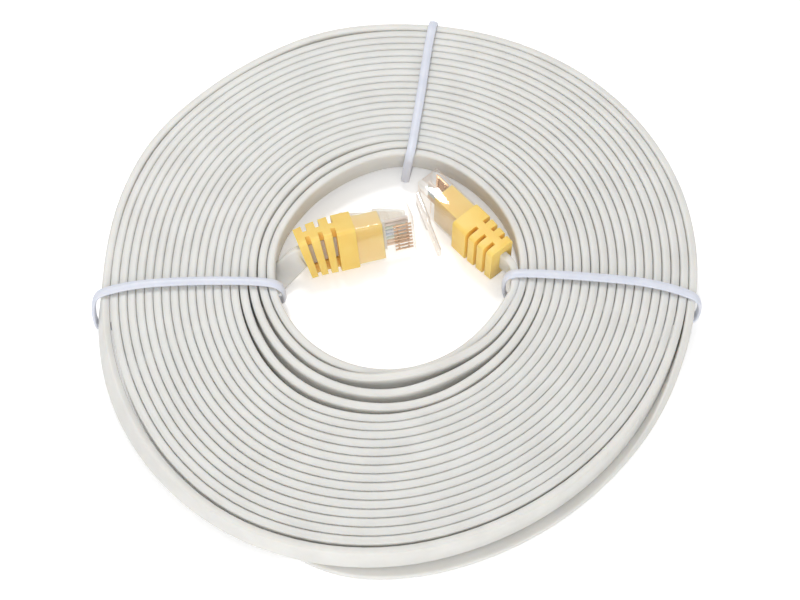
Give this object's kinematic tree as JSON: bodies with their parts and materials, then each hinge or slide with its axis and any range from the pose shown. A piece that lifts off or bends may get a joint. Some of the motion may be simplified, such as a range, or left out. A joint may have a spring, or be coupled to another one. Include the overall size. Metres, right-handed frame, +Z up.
{
  "type": "ethernet patch cable",
  "caption": "Flat white ethernet patch cable wound in a flat spiral and held by wire ties, with a clear latched plug and a ribbed yellow boot at each end.",
  "frame": {"origin": "middle of the bounding box, at the surface that the coiled cable lies on", "axes": "+Z up from the table; -Y is the near side of the coil in the picture; +X to its right"},
  "size_m": [0.1524, 0.154, 0.0139],
  "materials": {
    "jacket": "satin flexible PVC",
    "boot_yellow": "satin moulded soft PVC",
    "clear_plastic": "clear polished polycarbonate",
    "contact_gold": "gold flash on bronze",
    "wire_orange": "satin insulation",
    "wire_green": "satin insulation",
    "wire_blue": "satin insulation",
    "wire_brown": "satin insulation",
    "tie_plastic": "glossy soft plastic sleeve",
    "tie_wire": "galvanised wire"
  },
  "bodies": {
    "cable": {"cable_coil": "jacket", "cable_lead_left": "jacket", "cable_lead_right": "jacket", "cable_rise": "jacket", "cable_underpass": "jacket", "left_housing": "clear_plastic", "left_load_bar": "clear_plastic", "left_contacts": "contact_gold", "left_boot": "boot_yellow", "left_pair_orange": "wire_orange", "left_pair_green": "wire_green", "left_pair_blue": "wire_blue", "left_pair_brown": "wire_brown", "right_housing": "clear_plastic", "right_load_bar": "clear_plastic", "right_contacts": "contact_gold", "right_boot": "boot_yellow", "right_pair_orange": "wire_orange", "right_pair_green": "wire_green", "right_pair_blue": "wire_blue", "right_pair_brown": "wire_brown", "tie_left_sleeve": "tie_plastic", "tie_left_core": "tie_wire", "tie_right_sleeve": "tie_plastic", "tie_right_core": "tie_wire", "tie_top_sleeve": "tie_plastic", "tie_top_core": "tie_wire"},
    "left_latch": {"left_latch": "clear_plastic"},
    "right_latch": {"right_latch": "clear_plastic"}
  },
  "joints": [
    {"name": "left_latch_press", "type": "hinge", "parent": "cable", "child": "left_latch", "pos_m": [0.00237, 0.01388, 0.00533], "axis": [-0.1251, 0.4364, 0.891], "range_deg": [0, 14], "stiffness_Nm_per_rad": 0.05},
    {"name": "right_latch_press", "type": "hinge", "parent": "cable", "child": "right_latch", "pos_m": [0.0056, 0.02108, 0.0062], "axis": [0, 0, 1], "range_deg": [0, 14], "stiffness_Nm_per_rad": 0.05}
  ]
}
